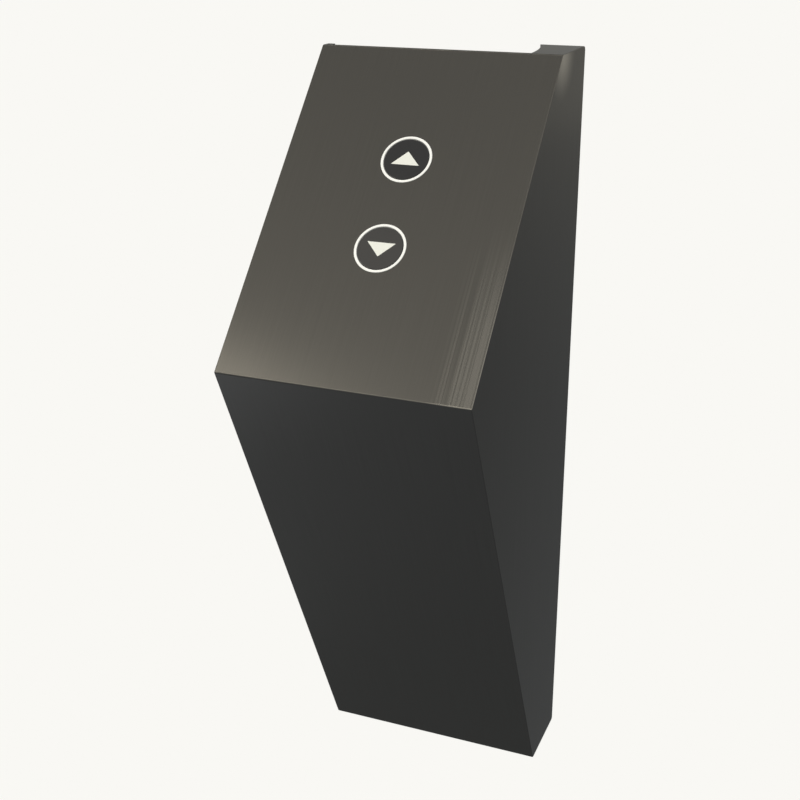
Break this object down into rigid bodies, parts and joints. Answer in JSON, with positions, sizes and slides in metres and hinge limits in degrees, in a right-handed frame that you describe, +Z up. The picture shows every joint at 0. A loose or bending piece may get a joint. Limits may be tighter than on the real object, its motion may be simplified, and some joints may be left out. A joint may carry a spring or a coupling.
{
  "type": "lift call button panel",
  "caption": "Wall-mounted lift call station: wedge-shaped brushed metal hood on a wall plate, with round up and down push-buttons in its sloping face and a controller board inside.",
  "frame": {"origin": "centre of the face that lies on the wall: halfway between the hood's cheeks and halfway up the hood", "axes": "+Y into the wall, +Z up, +X to the right of a person who faces the panel"},
  "size_m": [0.15, 0.1998, 0.4822],
  "materials": {
    "hood_steel": "bronze-black coated stainless sheet, hairline brushed",
    "galvanised_steel": "hot-dip galvanised sheet",
    "foam": "closed-cell foam",
    "stainless_fastener": "plain stainless fastener",
    "zinc_fastener": "zinc-plated fastener",
    "brass": "turned brass",
    "rubber": "moulded rubber",
    "opal_ring": "opal light-guide plastic",
    "silicone": "translucent silicone",
    "black_moulding": "moulded glass-filled plastic",
    "cap_black": "polished black acrylic",
    "arrow_white": "warm white inlay",
    "stem_white": "moulded acetal",
    "spring_steel": "drawn spring wire",
    "board_green": "solder-masked laminate",
    "led_white": "lamp package",
    "switch_black": "moulded switch body",
    "plunger_red": "moulded switch plunger",
    "nylon": "natural nylon",
    "lead_sleeve": "flexible sleeve over four wires",
    "terminal_green": "moulded terminal block",
    "chip_black": "moulded chip package",
    "relay_blue": "moulded relay case",
    "capacitor_case": "moulded film-capacitor case"
  },
  "bodies": {
    "station": {"front_hood": "hood_steel", "wall_plate": "galvanised_steel", "side_rails": "galvanised_steel", "top_rail": "galvanised_steel", "screw_shelf": "galvanised_steel", "wall_gasket": "foam", "hanger_pins": "stainless_fastener", "hood_screws": "stainless_fastener", "hood_nuts": "zinc_fastener", "cable_grommet": "rubber", "earth_stud": "brass", "earth_nut": "brass", "controller_board": "board_green", "board_supports": "nylon", "cable_terminal": "terminal_green", "board_chips": "chip_black", "board_relay": "relay_blue", "board_capacitors": "capacitor_case", "button_studs": "stainless_fastener", "stud_nuts": "zinc_fastener", "board_sockets": "nylon", "lead_plugs": "nylon", "up_light_ring": "opal_ring", "up_seal": "silicone", "up_housing": "black_moulding", "up_rear_cover": "black_moulding", "up_led_board": "board_green", "up_leds": "led_white", "up_switch": "switch_black", "up_switch_board": "board_green", "up_socket": "nylon", "up_lead": "lead_sleeve", "up_spring": "spring_steel", "down_light_ring": "opal_ring", "down_seal": "silicone", "down_housing": "black_moulding", "down_rear_cover": "black_moulding", "down_led_board": "board_green", "down_leds": "led_white", "down_switch": "switch_black", "down_switch_board": "board_green", "down_socket": "nylon", "down_lead": "lead_sleeve", "down_spring": "spring_steel"},
    "up_button": {"up_cap": "cap_black", "up_arrow": "arrow_white", "up_stem": "stem_white", "up_clip": "spring_steel", "up_plunger": "plunger_red"},
    "down_button": {"down_cap": "cap_black", "down_arrow": "arrow_white", "down_stem": "stem_white", "down_clip": "spring_steel", "down_plunger": "plunger_red"}
  },
  "joints": [
    {"name": "up_press", "type": "slide", "parent": "station", "child": "up_button", "axis": [0, 0.7295, -0.6839], "range_m": [0, 0.0018], "stiffness_N_per_m": 400, "springref_m": -0.006, "deforming": ["up_spring"]},
    {"name": "down_press", "type": "slide", "parent": "station", "child": "down_button", "axis": [0, 0.7295, -0.6839], "range_m": [0, 0.0018], "stiffness_N_per_m": 400, "springref_m": -0.006, "deforming": ["down_spring"]}
  ]
}
